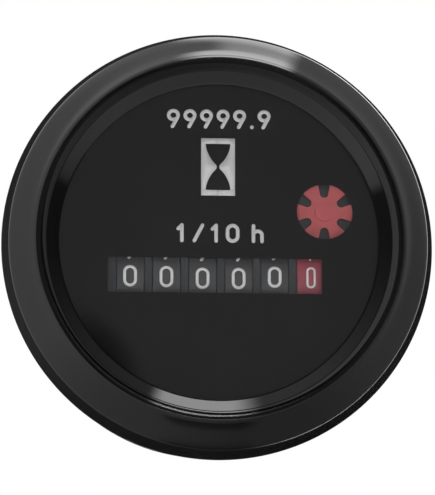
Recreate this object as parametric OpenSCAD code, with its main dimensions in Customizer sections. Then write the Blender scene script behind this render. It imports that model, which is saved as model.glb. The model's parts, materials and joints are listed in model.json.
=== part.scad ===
// Round panel hour meter with a six-wheel drum counter and a quartz stepping movement.
// Heights count from the bezel's rear edge, towards the viewer. x is right, y is up on the dial.

/* [Bezel] */
// How far the bezel's rim reaches past the panel hole
bezel_overhang = 3.75; // [3.4:0.05:5]
// Height of the bezel's crest above its rear edge
bezel_h = 6.8; // [6.6:0.05:7.1]
// Width of the front band, from the rim to the crest
front_band_w = 4.65; // [4.4:0.05:4.9]
// Radius of the crest's inner edge
crest_edge_r = 0.2; // [0.15:0.05:0.3]
// Height of the upright side wall
bezel_side_h = 3.15; // [3:0.05:3.4]
// How far the side wall leans in
bezel_lean = 0.7; // [0.4:0.05:0.8]
// How far the front band sags below a straight cone
bezel_sag = 0.08; // [0:0.01:0.2]
// Wall of the bezel beside the flange
bezel_wall = 1.1; // [0.8:0.1:1.4]
// Height of the snap bead that grips the flange
snap_h = 0.4; // [0.3:0.05:0.45]

/* [Lens and dial] */
// How far the bezel's lip covers the dial ring
ring_hold = 0.75; // [0.65:0.05:0.8]
// Thickness of the lens
lens_t = 0.8; // [0.7:0.05:0.85]
// Thickness of the lens gasket
lens_gasket_t = 0.4; // [0.3:0.05:0.5]
// Thickness of the dial
dial_t = 0.5; // [0.3:0.1:0.8]
// Width of the dial ring, from its rim to the dial that shows
dial_ring_w = 3.75; // [3.6:0.05:3.9]
// Height of the dial's back
dial_back_h = 2.4; // [2.2:0.1:2.6]
// Height of the dial ring
ring_h = 1.9; // [1.8:0.05:1.95]
// Width of the counter window
window_w = 29.4; // [28:0.1:30]
// Height of the counter window
window_h = 4.95; // [4.4:0.05:5.4]
// Place of the counter window's middle below the dial's centre
counter_y = -4.55; // [-4.6:0.01:-4.5]
// Diameter of the round indicator window
indicator_window_d = 7.72; // [7:0.1:8]

/* [Case] */
// Diameter of the panel hole that the barrel passes through
panel_hole_d = 52; // [51.8:0.1:52.2]
// Diametral clearance of the barrel in the panel hole
panel_play = 0.2; // [0.1:0.05:0.4]
// Thickness of the panel gasket
panel_gasket_t = 1; // [0.6:0.1:1.6]
// Wall of the barrel
case_wall = 2; // [1.7:0.1:2.1]
// Room for components between the circuit board and the case floor
floor_gap = 5.6; // [5:0.1:9]
// Thickness of the case floor
floor_t = 2.5; // [2:0.1:3]
// Thickness of the flange
flange_t = 1.6; // [1.4:0.1:1.8]

/* [Counter] */
// Spacing of the number wheels along their shaft
digit_pitch = 4.96; // [4.92:0.01:5]
// Width of the printed rim of a number wheel
rim_w = 3.66; // [3.6:0.01:3.7]
// Outer diameter of a number wheel
drum_d = 12.6; // [12.4:0.1:12.8]
// Thickness of a number wheel's rim and web
drum_wall = 0.8; // [0.6:0.1:1.2]
// Diameter of the counter shaft
counter_shaft_d = 2; // [1.6:0.1:2.2]
// Wall of a number wheel's hub
hub_wall = 0.9; // [0.7:0.1:1.2]
// Module of the carry gears
carry_module = 0.5; // [0.49:0.005:0.5]
// Thickness of a number wheel's carry gear
carry_t = 0.5; // [0.4:0.05:0.55]
// Diameter of the pinion shaft
pinion_shaft_d = 1; // [0.8:0.1:1.1]
// Thickness of the counter frame's sheet
frame_t = 0.8; // [0.6:0.1:1]

/* [Movement] */
// Thickness of the front and rear plates
plate_t = 1.2; // [1:0.1:1.3]
// Distance between the plates
plate_gap = 14.5; // [14.4:0.1:15]
// Module of the drive gears
train_module = 0.2; // [0.195:0.001:0.2]
// Diameter of the indicator arbor
arbor_d = 1.5; // [1.2:0.1:1.6]
// Module of the worm wheel
worm_module = 0.35; // [0.345:0.001:0.355]
// Depth of the worm's thread
worm_depth = 0.7; // [0.6:0.05:0.75]
// Length of the worm
worm_len = 5; // [4:0.5:6]
// Diameter of the rotor magnet
magnet_d = 4; // [3.6:0.1:4.4]
// Thickness of the stator
stator_t = 1; // [0.8:0.1:1.2]
// Diameter of the coil winding
coil_d = 6.4; // [5.6:0.1:6.8]
// Thickness of the circuit board
board_t = 1.6; // [1.2:0.1:1.6]

/* [Rear] */
// Diameter of the mounting studs
stud_d = 4; // [3:0.5:5]
// Distance between the mounting studs
stud_span = 28; // [26:1:30]
// Length of the studs outside the case
stud_len = 14; // [8:1:20]
// Width of the terminal blades
blade_w = 6.3; // [4.8:0.1:6.3]
// Thickness of the terminal blades
blade_t = 0.8; // [0.6:0.1:1]
// Length of the blades outside the case
blade_len = 9; // [8:0.5:12]
// Distance between the two blades
blade_span = 15; // [13:1:16]

/* [Hidden] */
$fn = 96;
fine = 180;
// Face clearance that keeps neighbouring pieces apart
gap = 0.1;
// Radial running clearance of a shaft in its bore
run = 0.04;

barrel_r = (panel_hole_d - panel_play) / 2;
bore_r = barrel_r - case_wall;
collar_r = barrel_r + 0.5;
bezel_r = panel_hole_d / 2 + bezel_overhang;
flange_r = bezel_r - bezel_wall - 0.25;
crest_r = bezel_r - front_band_w;
lip_r = crest_r - crest_edge_r;
lens_r = lip_r + ring_hold;
lens_seat_w = 0.95;
rim_r = lens_r - lens_seat_w;
dial_front_h = dial_back_h + dial_t;
lens_back_h = dial_front_h + gap;
lens_front_h = lens_back_h + lens_t;
lip_h = lens_front_h + ring_h;
rim_h = lens_back_h - lens_gasket_t;
flange_h = snap_h + gap;
flange_top_h = flange_h + flange_t;
snap_r = flange_r - 0.45;

plate_front_h = dial_back_h - 1.2;
plate_back_h = plate_front_h - plate_t;
rear_front_h = plate_back_h - plate_gap;
rear_back_h = rear_front_h - plate_t;
plate_r = bore_r - 0.3;
board_front_h = rear_back_h - 1.1;
board_back_h = board_front_h - board_t;
floor_h = board_back_h - floor_gap;
case_depth = floor_t - floor_h;
post_count = 3;
boss_r = 1.7;
boss_ring_r = bore_r - boss_r + 0.3;
boss_depth = 4;
pillar_r = 1.7;
pillar_ring_r = bore_r - 3;
pillar_start = 60;
dial_post_start = 30;
dial_post_r = 1.4;
screw_r = 0.7;
head_r = 1.3;
head_h = 0.7;
// Depth of the screw holes in pillars and posts, and how far a screw goes into one
tap_depth = 4;
screw_bite = 3.5;
// What the front plate leaves in front of a pivot
bearing_cap = 0.3;
front_pivot_h = plate_front_h - bearing_cap - gap;

drum_r = drum_d / 2;
axis_h = dial_back_h - 1.1 - drum_r;
shaft_r = counter_shaft_d / 2;
hub_r = shaft_r + run + hub_wall;
counter_x = 0.39;
window_x = -0.5;
carry_teeth = 20;
pinion_teeth = 8;
carry_share = [0.36, 0.22, 0.08];
pinion_share = [0.2, 0.17, 0.09];
pinion_dist = (carry_teeth + pinion_teeth) * carry_module / 2;
pinion_y = counter_y - pinion_dist;
pinion_tip_r = (pinion_teeth / 2 + 0.9) * carry_module;
pinion_w = digit_pitch - rim_w - 2 * gap;
long_tooth_w = 1.4;
lock_r = pinion_dist - pinion_tip_r - 2 * gap;
pinion_shaft_r = pinion_shaft_d / 2;

indicator_x = 14.6;
indicator_y = 4.5;
indicator_h = dial_back_h - 0.9;
indicator_t = 0.4;
indicator_r = indicator_window_d / 2 + 0.75;
arbor_r = arbor_d / 2;
thin_r = 0.5;
pivot_r = 0.35;
drive_teeth = 16;
drive_dist = drive_teeth * train_module;
worm_angle = -42;
worm_x = indicator_x + drive_dist * cos(worm_angle);
worm_y = indicator_y + drive_dist * sin(worm_angle);
worm_wheel_teeth = 30;
worm_wheel_r = worm_wheel_teeth * worm_module / 2;
worm_lead = PI * worm_module;
worm_r = worm_y - counter_y - worm_wheel_r;
worm_wheel_t = 1.2;
worm_share = [0.36, 0.16, 0.04];

second_teeth = 64;
first_teeth = 60;
leaf_teeth = 8;
train_share = [0.36, 0.21, 0.08];
leaf_share = [0.2, 0.16, 0.09];
second_dist = (second_teeth + leaf_teeth) * train_module / 2;
first_dist = (first_teeth + leaf_teeth) * train_module / 2;
wheel_t = 0.5;
leaf_t = 1.3;
second_h = rear_front_h + 1.2;
first_h = second_h + 2.4;
drive_h = plate_back_h - 2;
first_angle = 141;
rotor_angle = 166;
first_x = indicator_x + second_dist * cos(first_angle);
first_y = indicator_y + second_dist * sin(first_angle);
rotor_x = first_x + first_dist * cos(rotor_angle);
rotor_y = first_y + first_dist * sin(rotor_angle);
magnet_t = 2;
magnet_h = first_h + 1.5;
stator_h = magnet_h + (magnet_t - stator_t) / 2;
core_t = 1;
core_w = 2.4;
core_h = stator_h - core_t;
leg_w = 2;
leg_y = 5.2;
post_r = 1.4;
coil_dist = 15.4;
coil_x = rotor_x - coil_dist;
spool_r = 1.7;
cheek_t = 0.6;
spool_len = 2 * (leg_y - post_r - gap);
pin_r = 0.25;
core_screw_bite = 2.5;
pin_block = [2, cheek_t, 2];
pin_head_h = core_h + core_t / 2 - coil_d / 2 - 0.7;

frame_left_x = counter_x - 3 * digit_pitch - gap;
frame_right_x = worm_x + worm_wheel_t / 2 + 0.5;
frame_top_y = counter_y + 3.4;
frame_low_y = pinion_y - 1.4;
frame_back_h = axis_h - drum_r - 0.3;
arm_h = axis_h - worm_len / 2 - 1.4;
arm_w = 2.4;
arm_len = frame_right_x - worm_x + arm_w / 2;
tab_w = 4.4;
tab_len = 2.8;
tab_y = counter_y - 1.05;
clip_t = 0.4;
shaft_end = frame_t + clip_t + 0.3;

collar_h = 1.2;
seat_h = 0.8;
blade_y = -10;
stud_y = 3;
// Places and sizes of the board's components: x, y, diameter and length
crystal = [1, 15, 3, 8.2];
chip = [1, 8];
chip_body = [5, 4, 1.5];
capacitor_size = [0, -2, 4.2, 8];
diode_size = [0, -9, 2.7, 4.6];
resistor_size = [-8, 4, 2.2, 4.2];
resistor_pitch = 4;
stud_shank_r = stud_d / 2 + 0.5;
stud_seat_r = stud_shank_r + 1.5;
stud_head_r = stud_shank_r + 1;
stud_head_t = 1;

function polar(r, a) = [r * cos(a), r * sin(a)];
function arc(c, r, a0, a1, steps) =
    [for (i = [0 : steps]) c + polar(r, a0 + (a1 - a0) * i / steps)];
function wheel_x(i) = counter_x + (i - 2.5) * digit_pitch;

// Gear outline. share holds each tooth's half width at root, pitch and tip, as shares of the pitch.
function gear_points(teeth, radii, share) = [
    for (i = [0 : teeth - 1], k = [0 : 5])
        let (ring = k < 3 ? k : 5 - k, side = k < 3 ? -1 : 1)
            polar(radii[ring], 360 / teeth * (i + side * share[ring]))
];

// Turns the dial upright so that it faces -Y, with the panel's front face at the origin.
module placed() {
    rotate([90, 0, 0]) translate([0, 0, panel_gasket_t]) children();
}

// Lays a shape drawn about the z axis along x, at the height of the counter's axis.
module across(x, y = counter_y) {
    translate([x, y, axis_h]) rotate([0, 90, 0]) children();
}

module around(r, start = 0) {
    for (i = [0 : post_count - 1]) translate(polar(r, start + 360 * i / post_count)) children();
}

module ring(outer, inner, t) {
    difference() {
        cylinder(r = outer, h = t);
        translate([0, 0, -1]) cylinder(r = inner, h = t + 2);
    }
}

module gear(teeth, m, share, t, bore, turned = 0) {
    r = teeth * m / 2;
    difference() {
        linear_extrude(t) rotate(turned) polygon(gear_points(teeth, [r - 1.2 * m, r, r + 0.9 * m], share));
        translate([0, 0, -1]) cylinder(r = bore, h = t + 2);
    }
}

// Slotted pan-head screw, its head on z = 0 and its shank below.
module screw(len, r = screw_r, head = head_r, height = head_h) {
    translate([0, 0, -len]) cylinder(r = r, h = len + height / 3);
    difference() {
        cylinder(r = head, h = height);
        translate([-head - 1, -head / 8, height / 2]) cube([2 * head + 2, head / 4, height]);
    }
}

// Glossy bezel: a front band that turns over a faint brow to the crest, and an upright wall down to the
// dial ring. Cored behind, with a snap bead that grips the case flange.
module bezel() {
    corner = [bezel_r - bezel_lean, bezel_side_h];
    foot = corner + [-0.15, 0.1];
    edge = [crest_r, bezel_h - crest_edge_r];
    brow_r = 5;
    brow_mid = edge + polar(crest_edge_r - brow_r, 57);
    brow = brow_mid + polar(brow_r, 42);
    band = [for (s = [0.125 : 0.125 : 0.875])
        foot + (brow - foot) * s - [1, 1] * 2.8 * bezel_sag * s * (1 - s)];
    groove_r = lens_r + 0.9;
    side_r = flange_r + gap / 2;
    outline = concat(
        [[snap_r, 0], [bezel_r, 0], corner + [0.01, -0.14], corner + [-0.04, -0.01], foot],
        band,
        arc(brow_mid, brow_r, 42, 57, 5),
        arc(edge, crest_edge_r, 75, 180, 6),
        [[lip_r, lip_h], [lens_r + gap, lip_h]],
        [[lens_r + gap, flange_top_h + gap], [groove_r, flange_top_h + gap]],
        [[groove_r, bezel_side_h + 1], [side_r, bezel_side_h - 0.7], [side_r, flange_h], [snap_r, snap_h]]
    );
    color("#0d0d0f") placed() rotate_extrude($fn = fine) polygon(outline);
}

module lens() {
    edge = 0.2;
    color([0.85, 0.88, 0.9, 0.3]) placed() translate([0, 0, lens_back_h]) rotate_extrude($fn = fine)
        polygon([[0, 0], [lens_r - edge, 0], [lens_r, edge], [lens_r, lens_t - edge],
            [lens_r - edge, lens_t], [0, lens_t]]);
}

module lens_gasket() {
    color("#1a1a1a") placed() translate([0, 0, rim_h]) ring(lens_r, rim_r + gap, lens_gasket_t);
}

// Polished ring on the lens, held by the bezel's lip: a cone, a fine step, a steeper cone, and a flat
// land under the lip.
module dial_ring() {
    inner = lens_r - dial_ring_w;
    land_r = lens_r - 1.15;
    step_r = land_r - 0.82;
    step_h = ring_h - 0.65;
    color("#0c0c0d") placed() translate([0, 0, lens_front_h]) rotate_extrude($fn = fine) polygon([
        [inner, 0], [lens_r, 0], [lens_r, ring_h], [land_r, ring_h], [step_r, step_h - 0.05],
        [step_r - 0.04, step_h], [inner, 0.06],
    ]);
}

module dial() {
    color("#262627") placed() translate([0, 0, dial_back_h]) difference() {
        cylinder(r = rim_r - gap, h = dial_t, $fn = fine);
        translate([window_x - window_w / 2, counter_y - window_h / 2, -1])
            cube([window_w, window_h, dial_t + 2]);
        translate([indicator_x, indicator_y, -1]) cylinder(d = indicator_window_d, h = dial_t + 2);
    }
}

module panel_gasket() {
    color("#202020") placed() translate([0, 0, -panel_gasket_t])
        ring(bezel_r - 0.9, collar_r, panel_gasket_t);
}

// Moulded cup: flange under the bezel, barrel through the panel, seats for studs and blades.
module case() {
    outline = [
        [0, -case_depth], [barrel_r - 1, -case_depth], [barrel_r, 1 - case_depth],
        [barrel_r, -panel_gasket_t], [collar_r, -panel_gasket_t], [collar_r, 0],
        [snap_r - gap / 2, 0], [snap_r - gap / 2, flange_h], [flange_r, flange_h],
        [flange_r, flange_top_h], [lens_r, flange_top_h], [lens_r, rim_h], [rim_r, rim_h],
        [rim_r, dial_back_h], [bore_r, dial_back_h], [bore_r, floor_h], [0, floor_h],
    ];
    color("#19191a") placed() difference() {
        union() {
            rotate_extrude($fn = fine) polygon(outline);
            around(boss_ring_r) translate([0, 0, floor_h - 0.5])
                cylinder(r = boss_r, h = plate_back_h - floor_h + 0.5);
            for (side = [-1, 1]) {
                translate([side * blade_span / 2, blade_y, -case_depth - collar_h / 2])
                    cube([blade_t + 3, blade_w + 3, collar_h + 1], center = true);
                translate([side * stud_span / 2, stud_y, -case_depth - seat_h])
                    cylinder(r = stud_seat_r, h = seat_h + 0.5);
            }
        }
        around(boss_ring_r) translate([0, 0, plate_back_h - boss_depth])
            cylinder(r = screw_r, h = boss_depth + 1);
        for (side = [-1, 1]) {
            translate([side * blade_span / 2, blade_y, -case_depth])
                cube([blade_t, blade_w, 4 * floor_t], center = true);
            translate([side * stud_span / 2, stud_y, -case_depth - 2 * seat_h])
                cylinder(r = stud_shank_r, h = 3 * floor_t);
        }
    }
}

// Plate under the dial: posts that carry the dial, bearings, and a slot for each drum. The ribs between
// the slots hide the carry gears, and are hollowed behind to clear them.
module front_plate() {
    drum_chord = sqrt(drum_r * drum_r - pow(plate_back_h - axis_h, 2)) + 0.5;
    slot_w = rim_w + 3 * gap;
    carry_clear_r = (carry_teeth / 2 + 0.9) * carry_module + 2 * gap;
    worm_clear_r = worm_wheel_r + 0.9 * worm_module + 2 * gap;
    worm_slot_w = worm_wheel_t + 4 * gap;
    color("#3e4444") placed() difference() {
        union() {
            translate([0, 0, plate_back_h]) cylinder(r = plate_r, h = plate_t);
            around(plate_r - dial_post_r - 2 * gap, dial_post_start) translate([0, 0, plate_back_h])
                cylinder(r = dial_post_r, h = dial_back_h - plate_back_h);
        }
        for (i = [0 : 5]) translate([wheel_x(i) - slot_w / 2, counter_y - drum_chord, plate_back_h - 1])
            cube([slot_w, 2 * drum_chord, plate_t + 2]);
        across(frame_left_x) cylinder(r = carry_clear_r, h = wheel_x(5) - frame_left_x);
        across(worm_x - worm_slot_w / 2) cylinder(r = worm_clear_r, h = worm_slot_w);
        translate([0, 0, plate_back_h - 1]) {
            translate([indicator_x, indicator_y]) cylinder(r = arbor_r + run, h = plate_t + 2);
            for (p = [[worm_x, worm_y], [first_x, first_y], [rotor_x, rotor_y]])
                translate(p) cylinder(r = pivot_r + run, h = plate_t + 1 - bearing_cap);
            around(boss_ring_r) cylinder(r = screw_r, h = plate_t + 2);
            around(pillar_ring_r, pillar_start) cylinder(r = screw_r, h = plate_t + 2);
            frame_screw_places() cylinder(r = screw_r, h = plate_t + 2);
        }
    }
}

module frame_screw_places() {
    for (x = [frame_left_x - frame_t - tab_len / 2, frame_right_x + frame_t + tab_len / 2])
        translate([x, tab_y]) children();
}

module core_screw_places() {
    for (side = [-1, 1]) translate([coil_x, rotor_y + side * leg_y]) children();
}

module coil_pin_places() {
    for (side = [-1, 1]) translate([coil_x, rotor_y + side * (spool_len - cheek_t) / 2]) children();
}

// Disc with room for the case's screw bosses.
module notched_disc(t) {
    linear_extrude(t) difference() {
        circle(r = plate_r);
        around(boss_ring_r) circle(r = boss_r + 3 * gap);
    }
}

// Plate that carries the rear pivots, and two posts for the stator.
module rear_plate() {
    color("#3e4444") placed() difference() {
        union() {
            translate([0, 0, rear_back_h]) notched_disc(plate_t);
            core_screw_places() translate([0, 0, rear_front_h - 0.5])
                cylinder(r = post_r, h = core_h - rear_front_h + 0.5);
        }
        translate([0, 0, rear_back_h - 1]) {
            for (p = [[indicator_x, indicator_y], [first_x, first_y], [rotor_x, rotor_y]])
                translate(p) cylinder(r = pivot_r + run, h = plate_t + 2);
            around(pillar_ring_r, pillar_start) cylinder(r = screw_r, h = plate_t + 2);
            coil_pin_places() cylinder(r = pin_r + gap, h = plate_t + 2);
        }
        core_screw_places() translate([0, 0, core_h - core_screw_bite - 0.5])
            cylinder(r = screw_r, h = core_screw_bite + 1);
    }
}

module plate_pillars() {
    color("#b9a15c") placed() around(pillar_ring_r, pillar_start)
        translate([0, 0, rear_front_h]) difference() {
            cylinder(r = pillar_r, h = plate_gap);
            for (z = [-1, plate_gap - tap_depth]) translate([0, 0, z])
                cylinder(r = screw_r, h = tap_depth + 1);
        }
}

module plate_screws() {
    color("#a8a8a6") placed() around(pillar_ring_r, pillar_start)
        translate([0, 0, plate_front_h]) screw(plate_t + screw_bite);
}

module movement_screws() {
    color("#a8a8a6") placed() around(boss_ring_r)
        translate([0, 0, plate_front_h]) screw(plate_t + screw_bite);
}

// One folded sheet: two cheeks, a back behind the drums, two fixing tabs and the worm's bearing arm.
module counter_frame() {
    depth = plate_back_h - frame_back_h + frame_t;
    cheek = [frame_t, frame_top_y - frame_low_y, depth];
    back_top_y = counter_y + 1.5;
    color("#9a9c9b") placed() difference() {
        union() {
            for (x = [frame_left_x - frame_t, frame_right_x])
                translate([x, frame_low_y, frame_back_h - frame_t]) cube(cheek);
            translate([frame_left_x - frame_t, frame_low_y, frame_back_h - frame_t])
                cube([frame_right_x - frame_left_x + 2 * frame_t, back_top_y - frame_low_y, frame_t]);
            for (x = [frame_left_x - frame_t - tab_len, frame_right_x])
                translate([x, tab_y - tab_w / 2, plate_back_h - frame_t])
                    cube([tab_len + frame_t, tab_w, frame_t]);
            translate([frame_right_x, counter_y, arm_h - frame_t])
                cube([frame_t, worm_y + arm_w / 2 - counter_y, 2.5 * frame_t]);
            translate([frame_right_x + frame_t - arm_len, worm_y - arm_w / 2, arm_h - frame_t])
                cube([arm_len, arm_w, frame_t]);
        }
        for (bore = [[counter_y, shaft_r], [pinion_y, pinion_shaft_r]])
            across(frame_left_x - tab_len, bore[0])
                cylinder(r = bore[1], h = frame_right_x - frame_left_x + 2 * tab_len);
        frame_screw_places() translate([0, 0, plate_back_h - 2 * frame_t])
            cylinder(r = screw_r, h = 3 * frame_t);
        translate([worm_x, worm_y, arm_h - 2 * frame_t]) cylinder(r = pivot_r + run, h = 3 * frame_t);
    }
}

module frame_screws() {
    color("#a8a8a6") placed() frame_screw_places()
        translate([0, 0, plate_front_h]) screw(plate_t + frame_t + 0.5);
}

module counter_shaft() {
    color("#c9cacb") placed() across(frame_left_x - shaft_end)
        cylinder(r = shaft_r, h = frame_right_x - frame_left_x + 2 * shaft_end);
}

module pinion_shaft() {
    color("#c9cacb") placed() across(frame_left_x - shaft_end, pinion_y)
        cylinder(r = pinion_shaft_r, h = frame_right_x - frame_left_x + 2 * shaft_end);
}

// Open clips outside both cheeks, on both shafts.
module shaft_clips() {
    color("#8c8e90") placed() for (end = [[counter_y, shaft_r], [pinion_y, pinion_shaft_r]])
        for (x = [frame_left_x - frame_t - clip_t, frame_right_x + frame_t]) across(x, end[0]) difference() {
            ring(end[1] + 0.8, end[1], clip_t);
            translate([-5, -end[1] * 0.7, -1]) cube([5, end[1] * 1.4, clip_t + 2]);
        }
}

// Number wheel about z: rim and web, hub, carry gear on the right, locking disc on the left.
module number_wheel(index, carry, lock, hub_end) {
    half = rim_w / 2;
    across(wheel_x(index)) difference() {
        union() {
            translate([0, 0, -half]) ring(drum_r, drum_r - drum_wall, rim_w);
            translate([0, 0, half - drum_wall]) cylinder(r = drum_r - drum_wall / 2, h = drum_wall);
            translate([0, 0, gap / 2 - digit_pitch / 2])
                cylinder(r = hub_r, h = digit_pitch / 2 + hub_end - gap / 2);
            if (carry) translate([0, 0, half - 0.01])
                gear(carry_teeth, carry_module, carry_share, carry_t + 0.01, shaft_r, 90);
            if (lock) translate([0, 0, -half - carry_t]) lock_disc();
        }
        translate([0, 0, -digit_pitch]) cylinder(r = shaft_r + run, h = digit_pitch * 3);
    }
}

// Disc that the pinion's long teeth ride on, with the two teeth that carry one step.
module lock_disc() {
    carry_at = 120;
    step = 360 / carry_teeth;
    difference() {
        cylinder(r = lock_r, h = carry_t + drum_wall);
        for (i = [-1 : 1]) rotate(carry_at + i * step) translate([lock_r, 0, -1])
            cylinder(r = 0.45, h = carry_t + drum_wall + 2, $fn = 24);
    }
}

module plain_wheel(index, lock = true) {
    color("#3f3f41") placed() number_wheel(index, true, lock, digit_pitch / 2 - gap / 2);
}

module tenths_wheel() {
    color("#a03a46") placed() number_wheel(5, false, true, frame_right_x - wheel_x(5) - gap);
}

module worm_wheel() {
    color("#c8c3b4") placed() across(worm_x - worm_wheel_t / 2)
        gear(worm_wheel_teeth, worm_module, worm_share, worm_wheel_t, hub_r, 90);
}

// Pinion between two wheels: eight teeth for the carry gear, every second one long enough to lock.
module transfer_pinion(index) {
    turned = 180 / pinion_teeth - 90;
    bore = pinion_shaft_r + run;
    color("#c8c3b4") placed() across(wheel_x(index) + digit_pitch / 2 - pinion_w / 2, pinion_y) {
        gear(pinion_teeth, carry_module, pinion_share, pinion_w / 2, bore, turned);
        translate([0, 0, pinion_w / 2]) intersection() {
            gear(pinion_teeth, carry_module, pinion_share, pinion_w / 2, bore, turned);
            union() {
                cylinder(r = (pinion_teeth / 2 - 1.1) * carry_module, h = pinion_w);
                for (a = [0 : 720 / pinion_teeth : 359]) rotate(turned + a)
                    translate([0, -long_tooth_w / 2, 0]) cube([pinion_tip_r + 1, long_tooth_w, pinion_w]);
            }
        }
    }
}

// Running indicator seen through the round window: six round-ended notches, and a hub closed in front.
module indicator_disc() {
    root = 2.7;
    notch_w = 1.2;
    color("#a44a52") placed() translate([indicator_x, indicator_y, indicator_h]) difference() {
        union() {
            cylinder(r = indicator_r, h = indicator_t);
            cylinder(r = arbor_r + 0.5, h = indicator_t + 0.3);
        }
        for (a = [30 : 60 : 330]) rotate(a) {
            translate([root, 0, -1]) cylinder(r = notch_w / 2, h = indicator_t + 2);
            translate([0, 0, -1]) linear_extrude(indicator_t + 2) polygon([
                [root, -notch_w / 2], [indicator_r + 1, -notch_w],
                [indicator_r + 1, notch_w], [root, notch_w / 2],
            ]);
        }
        translate([0, 0, -1]) cylinder(r = arbor_r, h = indicator_t + 1);
    }
}

module indicator_arbor() {
    shoulder = rear_front_h + gap;
    color("#b8babb") placed() translate([indicator_x, indicator_y, 0]) {
        translate([0, 0, shoulder]) cylinder(r = arbor_r, h = indicator_h + indicator_t - shoulder);
        translate([0, 0, rear_back_h]) cylinder(r = pivot_r, h = plate_t + 1);
        translate([0, 0, plate_back_h - gap - 0.6]) cylinder(r = arbor_r + 0.4, h = 0.6);
        translate([0, 0, drive_h - wheel_t])
            gear(drive_teeth, train_module, train_share, wheel_t, thin_r, worm_angle);
    }
}

module second_wheel() {
    color("#b9a15c") placed() translate([indicator_x, indicator_y, second_h]) difference() {
        union() {
            gear(second_teeth, train_module, train_share, wheel_t, thin_r, first_angle);
            cylinder(r = arbor_r + 0.6, h = wheel_t + 0.4);
        }
        translate([0, 0, -1]) cylinder(r = arbor_r, h = 3);
        for (a = [45 : 90 : 315]) rotate(a) translate([3.7, 0, -1]) cylinder(r = 1.3, h = 3);
    }
}

// Right-hand single-start thread: a round section set off centre and turned once per lead.
module worm() {
    offset_r = worm_depth / 2;
    turns = worm_len / worm_lead;
    steps = ceil(turns * 12);
    coarse = 20;
    color("#c8c3b4") placed() translate([worm_x, worm_y, axis_h]) difference() {
        rotate(90 - 180 * turns)
            linear_extrude(worm_len, center = true, twist = -360 * turns, slices = steps, $fn = coarse)
                translate([offset_r, 0]) circle(r = worm_r, $fn = coarse);
        cylinder(r = thin_r, h = 2 * worm_len, center = true);
    }
}

module worm_arbor() {
    shoulder = arm_h + gap;
    color("#b8babb") placed() translate([worm_x, worm_y, 0]) {
        translate([0, 0, shoulder]) cylinder(r = thin_r, h = plate_back_h - gap - shoulder);
        translate([0, 0, arm_h - frame_t]) cylinder(r = pivot_r, h = front_pivot_h - arm_h + frame_t);
        translate([0, 0, drive_h - wheel_t])
            gear(drive_teeth, train_module, train_share, wheel_t, pivot_r / 2,
                worm_angle + 180 + 180 / drive_teeth);
    }
}

module first_wheel() {
    color("#c8c3b4") placed() translate([first_x, first_y, first_h]) difference() {
        union() {
            gear(first_teeth, train_module, train_share, wheel_t, thin_r, rotor_angle);
            cylinder(r = 1.3, h = wheel_t + 0.4);
        }
        translate([0, 0, -1]) cylinder(r = thin_r, h = 3);
    }
}

module arbor_with_leaves(leaf_h, turned) {
    translate([0, 0, rear_front_h + gap]) cylinder(r = thin_r, h = plate_gap - 2 * gap);
    translate([0, 0, rear_back_h]) cylinder(r = pivot_r, h = front_pivot_h - rear_back_h);
    translate([0, 0, leaf_h + wheel_t / 2 - leaf_t / 2])
        gear(leaf_teeth, train_module, leaf_share, leaf_t, pivot_r, turned);
}

module first_arbor() {
    color("#b8babb") placed() translate([first_x, first_y, 0])
        arbor_with_leaves(second_h, first_angle + 180 + 180 / leaf_teeth);
}

module rotor_arbor() {
    color("#b8babb") placed() translate([rotor_x, rotor_y, 0])
        arbor_with_leaves(first_h, rotor_angle + 180 + 180 / leaf_teeth);
}

module rotor_magnet() {
    color("#6b6d70") placed() translate([rotor_x, rotor_y, magnet_h]) ring(magnet_d / 2, thin_r, magnet_t);
}

// Flat stator: a ring about the rotor with two saturation notches, and two legs to the coil.
module stator() {
    hole_r = magnet_d / 2 + 0.5;
    ring_r = leg_y + 0.3;
    neck = 0.7;
    leg_x = coil_x - core_w / 2;
    color("#85878a") placed() translate([0, 0, stator_h]) linear_extrude(stator_t) difference() {
        union() {
            translate([rotor_x, rotor_y]) circle(r = ring_r);
            for (side = [-1, 1]) translate([leg_x, rotor_y + side * leg_y - leg_w / 2])
                square([rotor_x - leg_x + 1, leg_w]);
        }
        translate([rotor_x, rotor_y]) circle(r = hole_r);
        for (side = [-1, 1]) translate([rotor_x + side * ring_r, rotor_y])
            circle(r = ring_r - hole_r - neck);
        core_screw_places() circle(r = screw_r);
    }
}

module coil_core() {
    len = 2 * leg_y + leg_w;
    color("#85878a") placed() translate([0, 0, core_h]) linear_extrude(core_t) difference() {
        translate([coil_x - core_w / 2, rotor_y - len / 2]) square([core_w, len]);
        core_screw_places() circle(r = screw_r);
    }
}

module core_screws() {
    color("#a8a8a6") placed() core_screw_places()
        translate([0, 0, stator_h + stator_t]) screw(stator_t + core_t + core_screw_bite);
}

// Lays a shape drawn about z along y, centred on the coil core.
module on_core() {
    translate([coil_x, rotor_y, core_h + core_t / 2]) rotate([-90, 0, 0]) children();
}

module coil_bobbin() {
    color("#8a2f2a") placed() difference() {
        union() {
            on_core() {
                translate([0, 0, -spool_len / 2]) cylinder(r = spool_r, h = spool_len);
                for (z = [-spool_len / 2, spool_len / 2 - cheek_t]) translate([0, 0, z])
                    cylinder(r = coil_d / 2 + 0.2, h = cheek_t);
            }
            coil_pin_places() translate([-pin_block[0] / 2, -pin_block[1] / 2, pin_head_h]) cube(pin_block);
        }
        translate([coil_x, rotor_y, core_h + core_t / 2])
            cube([core_w, 2 * spool_len, core_t], center = true);
    }
}

module coil_winding() {
    len = spool_len - 2 * cheek_t;
    color("#b0642f") placed() on_core() translate([0, 0, -len / 2]) ring(coil_d / 2, spool_r, len);
}

module coil_pins() {
    color("#c9cacb") placed() coil_pin_places() translate([0, 0, board_back_h - 0.6])
        cylinder(r = pin_r, h = pin_head_h - board_back_h + 0.6);
}

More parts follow.
